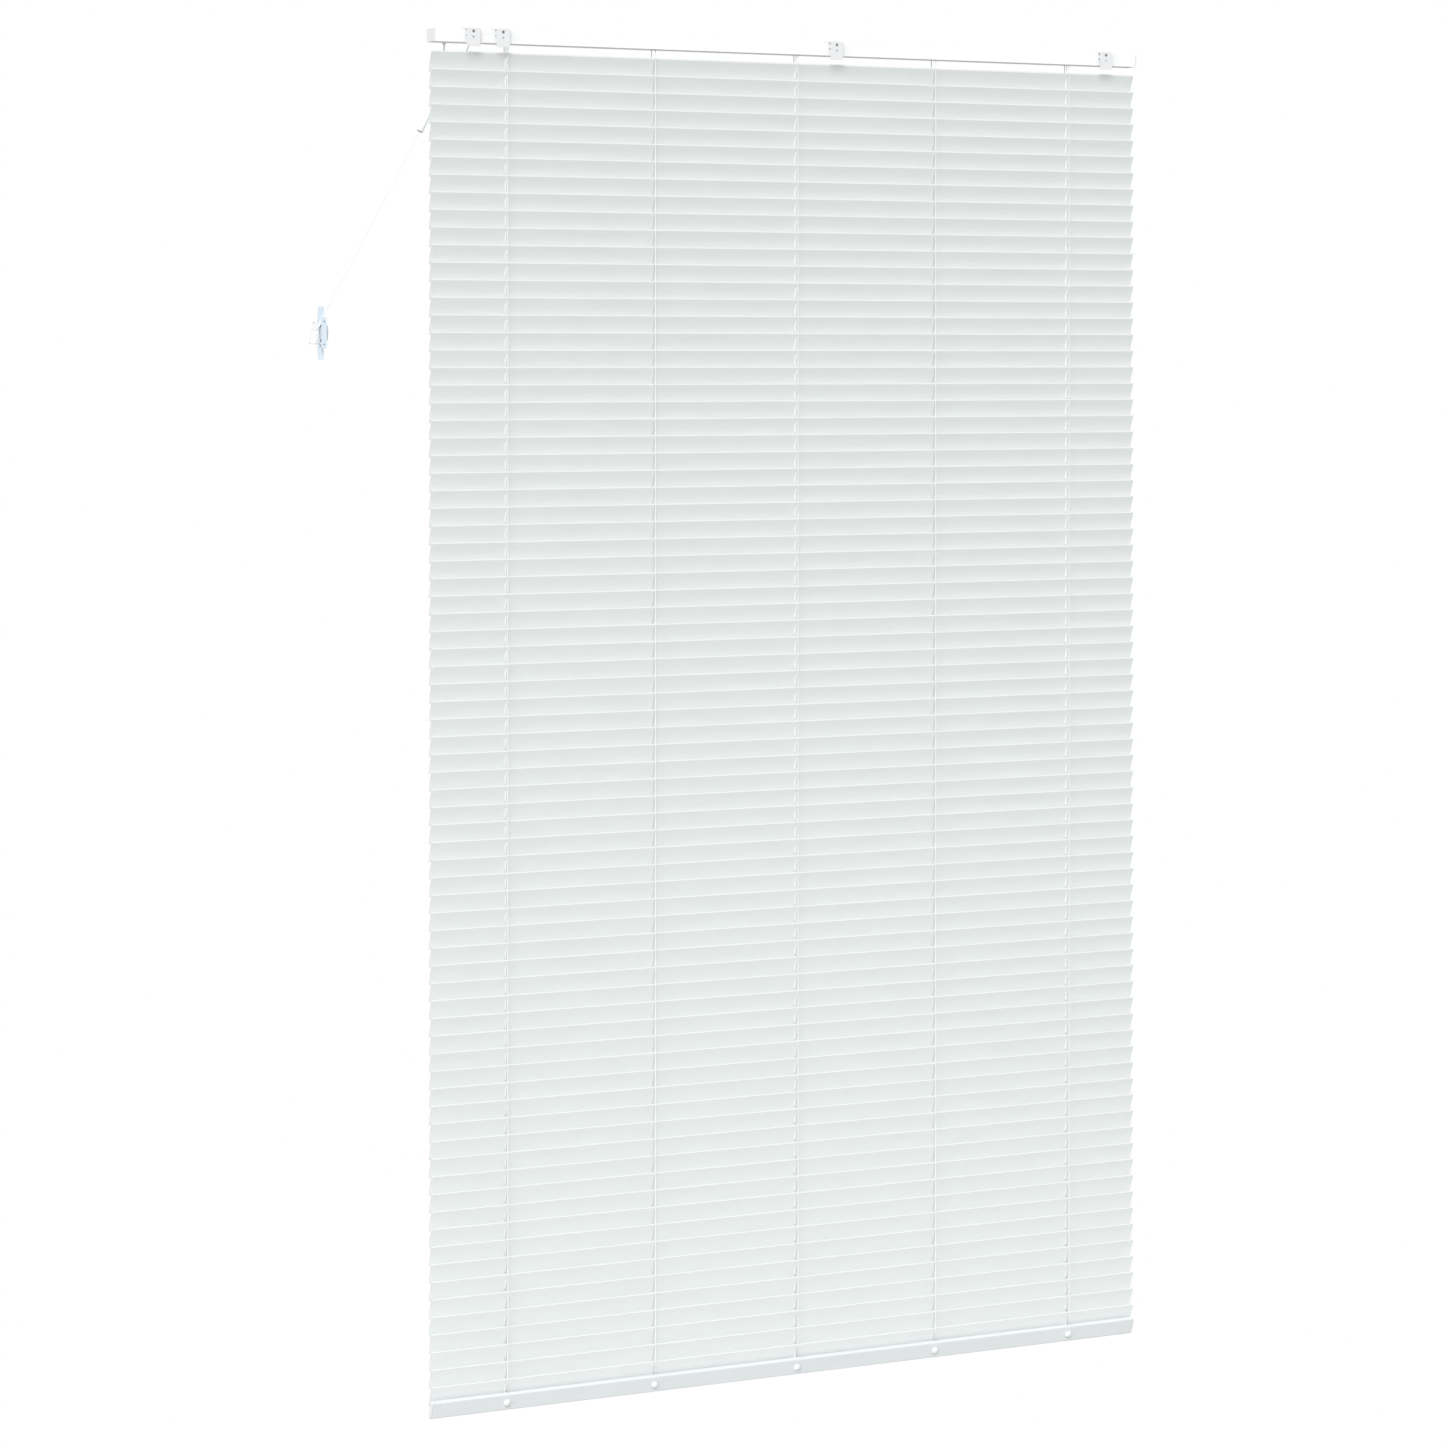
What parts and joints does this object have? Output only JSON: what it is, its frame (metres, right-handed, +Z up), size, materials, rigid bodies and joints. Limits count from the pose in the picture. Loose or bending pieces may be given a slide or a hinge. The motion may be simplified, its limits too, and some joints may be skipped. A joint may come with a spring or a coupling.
{
  "type": "venetian blind",
  "caption": "White venetian blind: a headrail on wall brackets, tilting slats on ladder cords, tilt wand, bottom rail, and a pull cord wound on a wall cleat",
  "frame": {"origin": "on the back face of bracket_3's wall plate, 18 mm below the top of the headrail", "axes": "+Y points to the wall or window, the room is at -Y, +Z is up, and +X runs along the headrail towards the cord's end, which is on the left when seen from the window"},
  "size_m": [1.4995, 0.059, 2.2014],
  "materials": {
    "lacquered_rail": "white stove lacquer, satin",
    "slat_lacquer": "white stove lacquer, satin",
    "bracket_sheet": "white powder coat",
    "white_plastic": "white moulded plastic",
    "cleat_plastic": "translucent bluish plastic",
    "wand_plastic": "pale plastic",
    "white_cord": "braided polyester",
    "rod_steel": "zinc-plated",
    "roller_brass": "polished"
  },
  "bodies": {
    "headrail": {"headrail": "lacquered_rail", "headrail_cap_left": "white_plastic", "headrail_cap_right": "white_plastic", "bracket_1": "bracket_sheet", "bracket_2": "bracket_sheet", "bracket_3": "bracket_sheet", "bracket_4": "bracket_sheet", "tilter_housing": "white_plastic", "cord_lock": "white_plastic", "pull_cord": "white_cord", "cord_connector": "white_plastic", "pull_tassel": "white_plastic", "cord_cleat": "cleat_plastic", "slats_on_lift_cords": "slat_lacquer"},
    "tilt_rod": {"tilt_rod": "rod_steel"},
    "tilt_wand": {"tilt_wand": "wand_plastic"},
    "lock_roller": {"cord_lock_roller": "roller_brass"},
    "bottom_rail": {"bottom_rail": "lacquered_rail", "bottom_rail_cap_left": "white_plastic", "bottom_rail_cap_right": "white_plastic", "rail_button_1": "white_plastic", "rail_button_2": "white_plastic", "rail_button_3": "white_plastic", "rail_button_4": "white_plastic", "rail_button_5": "white_plastic"},
    "window_ladder_cords": {"ladder_cord_window_1": "white_cord", "ladder_cord_window_2": "white_cord", "ladder_cord_window_3": "white_cord", "ladder_cord_window_4": "white_cord", "ladder_cord_window_5": "white_cord"},
    "room_ladder_cords": {"ladder_cord_room_1": "white_cord", "ladder_cord_room_2": "white_cord", "ladder_cord_room_3": "white_cord", "ladder_cord_room_4": "white_cord", "ladder_cord_room_5": "white_cord"},
    "slat_03": {"slat_03": "slat_lacquer"},
    "slat_06": {"slat_06": "slat_lacquer"},
    "slat_09": {"slat_09": "slat_lacquer"},
    "slat_12": {"slat_12": "slat_lacquer"},
    "slat_15": {"slat_15": "slat_lacquer"},
    "slat_18": {"slat_18": "slat_lacquer"},
    "slat_21": {"slat_21": "slat_lacquer"},
    "slat_24": {"slat_24": "slat_lacquer"},
    "slat_27": {"slat_27": "slat_lacquer"},
    "slat_30": {"slat_30": "slat_lacquer"},
    "slat_33": {"slat_33": "slat_lacquer"},
    "slat_36": {"slat_36": "slat_lacquer"},
    "slat_39": {"slat_39": "slat_lacquer"},
    "slat_42": {"slat_42": "slat_lacquer"},
    "slat_45": {"slat_45": "slat_lacquer"},
    "slat_48": {"slat_48": "slat_lacquer"},
    "slat_51": {"slat_51": "slat_lacquer"},
    "slat_54": {"slat_54": "slat_lacquer"},
    "slat_57": {"slat_57": "slat_lacquer"},
    "slat_60": {"slat_60": "slat_lacquer"},
    "slat_63": {"slat_63": "slat_lacquer"},
    "slat_66": {"slat_66": "slat_lacquer"},
    "slat_69": {"slat_69": "slat_lacquer"},
    "slat_72": {"slat_72": "slat_lacquer"},
    "slat_75": {"slat_75": "slat_lacquer"}
  },
  "joints": [
    {"name": "tilt", "type": "hinge", "parent": "headrail", "child": "tilt_rod", "pos_m": [0.065, -0.0225, 0.008], "axis": [-1, 0, 0], "range_deg": [0, 70], "deforming": ["slats_on_lift_cords"]},
    {"name": "wand_turn", "type": "hinge", "parent": "headrail", "child": "tilt_wand", "pos_m": [0.679, -0.053, 0], "axis": [0, 0, 1], "range_deg": [0, 280]},
    {"name": "roller_spin", "type": "hinge", "parent": "headrail", "child": "lock_roller", "pos_m": [0.64, -0.041, 0.0055], "axis": [1, 0, 0], "continuous": true},
    {"name": "bottom_rail_tilt", "type": "hinge", "parent": "headrail", "child": "bottom_rail", "pos_m": [0.065, -0.0225, -2.1669], "axis": [-1, 0, 0], "range_deg": [0, 70]},
    {"name": "window_cords_travel", "type": "slide", "parent": "headrail", "child": "window_ladder_cords", "axis": [0, 0.5736, -0.8192], "range_m": [0, 0.02108], "deforming": ["ladder_cord_window_1", "ladder_cord_window_2", "ladder_cord_window_3", "ladder_cord_window_4", "ladder_cord_window_5"]},
    {"name": "room_cords_travel", "type": "slide", "parent": "window_ladder_cords", "child": "room_ladder_cords", "axis": [0, -0.5736, 0.8192], "range_m": [0, 0.04216], "deforming": ["ladder_cord_room_1", "ladder_cord_room_2", "ladder_cord_room_3", "ladder_cord_room_4", "ladder_cord_room_5"]},
    {"name": "slat_03_tilt", "type": "hinge", "parent": "headrail", "child": "slat_03", "pos_m": [0.065, -0.0225, -0.0889], "axis": [-1, 0, 0], "range_deg": [0, 70]},
    {"name": "slat_06_tilt", "type": "hinge", "parent": "headrail", "child": "slat_06", "pos_m": [0.065, -0.0225, -0.1723], "axis": [-1, 0, 0], "range_deg": [0, 70]},
    {"name": "slat_09_tilt", "type": "hinge", "parent": "headrail", "child": "slat_09", "pos_m": [0.065, -0.0225, -0.2557], "axis": [-1, 0, 0], "range_deg": [0, 70]},
    {"name": "slat_12_tilt", "type": "hinge", "parent": "headrail", "child": "slat_12", "pos_m": [0.065, -0.0225, -0.3391], "axis": [-1, 0, 0], "range_deg": [0, 70]},
    {"name": "slat_15_tilt", "type": "hinge", "parent": "headrail", "child": "slat_15", "pos_m": [0.065, -0.0225, -0.4225], "axis": [-1, 0, 0], "range_deg": [0, 70]},
    {"name": "slat_18_tilt", "type": "hinge", "parent": "headrail", "child": "slat_18", "pos_m": [0.065, -0.0225, -0.5059], "axis": [-1, 0, 0], "range_deg": [0, 70]},
    {"name": "slat_21_tilt", "type": "hinge", "parent": "headrail", "child": "slat_21", "pos_m": [0.065, -0.0225, -0.5893], "axis": [-1, 0, 0], "range_deg": [0, 70]},
    {"name": "slat_24_tilt", "type": "hinge", "parent": "headrail", "child": "slat_24", "pos_m": [0.065, -0.0225, -0.6727], "axis": [-1, 0, 0], "range_deg": [0, 70]},
    {"name": "slat_27_tilt", "type": "hinge", "parent": "headrail", "child": "slat_27", "pos_m": [0.065, -0.0225, -0.7561], "axis": [-1, 0, 0], "range_deg": [0, 70]},
    {"name": "slat_30_tilt", "type": "hinge", "parent": "headrail", "child": "slat_30", "pos_m": [0.065, -0.0225, -0.8395], "axis": [-1, 0, 0], "range_deg": [0, 70]},
    {"name": "slat_33_tilt", "type": "hinge", "parent": "headrail", "child": "slat_33", "pos_m": [0.065, -0.0225, -0.9229], "axis": [-1, 0, 0], "range_deg": [0, 70]},
    {"name": "slat_36_tilt", "type": "hinge", "parent": "headrail", "child": "slat_36", "pos_m": [0.065, -0.0225, -1.0063], "axis": [-1, 0, 0], "range_deg": [0, 70]},
    {"name": "slat_39_tilt", "type": "hinge", "parent": "headrail", "child": "slat_39", "pos_m": [0.065, -0.0225, -1.0897], "axis": [-1, 0, 0], "range_deg": [0, 70]},
    {"name": "slat_42_tilt", "type": "hinge", "parent": "headrail", "child": "slat_42", "pos_m": [0.065, -0.0225, -1.1731], "axis": [-1, 0, 0], "range_deg": [0, 70]},
    {"name": "slat_45_tilt", "type": "hinge", "parent": "headrail", "child": "slat_45", "pos_m": [0.065, -0.0225, -1.2565], "axis": [-1, 0, 0], "range_deg": [0, 70]},
    {"name": "slat_48_tilt", "type": "hinge", "parent": "headrail", "child": "slat_48", "pos_m": [0.065, -0.0225, -1.3399], "axis": [-1, 0, 0], "range_deg": [0, 70]},
    {"name": "slat_51_tilt", "type": "hinge", "parent": "headrail", "child": "slat_51", "pos_m": [0.065, -0.0225, -1.4233], "axis": [-1, 0, 0], "range_deg": [0, 70]},
    {"name": "slat_54_tilt", "type": "hinge", "parent": "headrail", "child": "slat_54", "pos_m": [0.065, -0.0225, -1.5067], "axis": [-1, 0, 0], "range_deg": [0, 70]},
    {"name": "slat_57_tilt", "type": "hinge", "parent": "headrail", "child": "slat_57", "pos_m": [0.065, -0.0225, -1.5901], "axis": [-1, 0, 0], "range_deg": [0, 70]},
    {"name": "slat_60_tilt", "type": "hinge", "parent": "headrail", "child": "slat_60", "pos_m": [0.065, -0.0225, -1.6735], "axis": [-1, 0, 0], "range_deg": [0, 70]},
    {"name": "slat_63_tilt", "type": "hinge", "parent": "headrail", "child": "slat_63", "pos_m": [0.065, -0.0225, -1.7569], "axis": [-1, 0, 0], "range_deg": [0, 70]},
    {"name": "slat_66_tilt", "type": "hinge", "parent": "headrail", "child": "slat_66", "pos_m": [0.065, -0.0225, -1.8403], "axis": [-1, 0, 0], "range_deg": [0, 70]},
    {"name": "slat_69_tilt", "type": "hinge", "parent": "headrail", "child": "slat_69", "pos_m": [0.065, -0.0225, -1.9237], "axis": [-1, 0, 0], "range_deg": [0, 70]},
    {"name": "slat_72_tilt", "type": "hinge", "parent": "headrail", "child": "slat_72", "pos_m": [0.065, -0.0225, -2.0071], "axis": [-1, 0, 0], "range_deg": [0, 70]},
    {"name": "slat_75_tilt", "type": "hinge", "parent": "headrail", "child": "slat_75", "pos_m": [0.065, -0.0225, -2.0905], "axis": [-1, 0, 0], "range_deg": [0, 70]}
  ],
  "couplings": [
    {"joint": "wand_turn", "follows": "tilt", "ratio": 4},
    {"joint": "bottom_rail_tilt", "follows": "tilt", "ratio": 1},
    {"joint": "window_cords_travel", "follows": "tilt", "m_per_rad": 0.016432},
    {"joint": "room_cords_travel", "follows": "tilt", "m_per_rad": 0.032863},
    {"joint": "slat_03_tilt", "follows": "tilt", "ratio": 1},
    {"joint": "slat_06_tilt", "follows": "tilt", "ratio": 1},
    {"joint": "slat_09_tilt", "follows": "tilt", "ratio": 1},
    {"joint": "slat_12_tilt", "follows": "tilt", "ratio": 1},
    {"joint": "slat_15_tilt", "follows": "tilt", "ratio": 1},
    {"joint": "slat_18_tilt", "follows": "tilt", "ratio": 1},
    {"joint": "slat_21_tilt", "follows": "tilt", "ratio": 1},
    {"joint": "slat_24_tilt", "follows": "tilt", "ratio": 1},
    {"joint": "slat_27_tilt", "follows": "tilt", "ratio": 1},
    {"joint": "slat_30_tilt", "follows": "tilt", "ratio": 1},
    {"joint": "slat_33_tilt", "follows": "tilt", "ratio": 1},
    {"joint": "slat_36_tilt", "follows": "tilt", "ratio": 1},
    {"joint": "slat_39_tilt", "follows": "tilt", "ratio": 1},
    {"joint": "slat_42_tilt", "follows": "tilt", "ratio": 1},
    {"joint": "slat_45_tilt", "follows": "tilt", "ratio": 1},
    {"joint": "slat_48_tilt", "follows": "tilt", "ratio": 1},
    {"joint": "slat_51_tilt", "follows": "tilt", "ratio": 1},
    {"joint": "slat_54_tilt", "follows": "tilt", "ratio": 1},
    {"joint": "slat_57_tilt", "follows": "tilt", "ratio": 1},
    {"joint": "slat_60_tilt", "follows": "tilt", "ratio": 1},
    {"joint": "slat_63_tilt", "follows": "tilt", "ratio": 1},
    {"joint": "slat_66_tilt", "follows": "tilt", "ratio": 1},
    {"joint": "slat_69_tilt", "follows": "tilt", "ratio": 1},
    {"joint": "slat_72_tilt", "follows": "tilt", "ratio": 1},
    {"joint": "slat_75_tilt", "follows": "tilt", "ratio": 1}
  ]
}
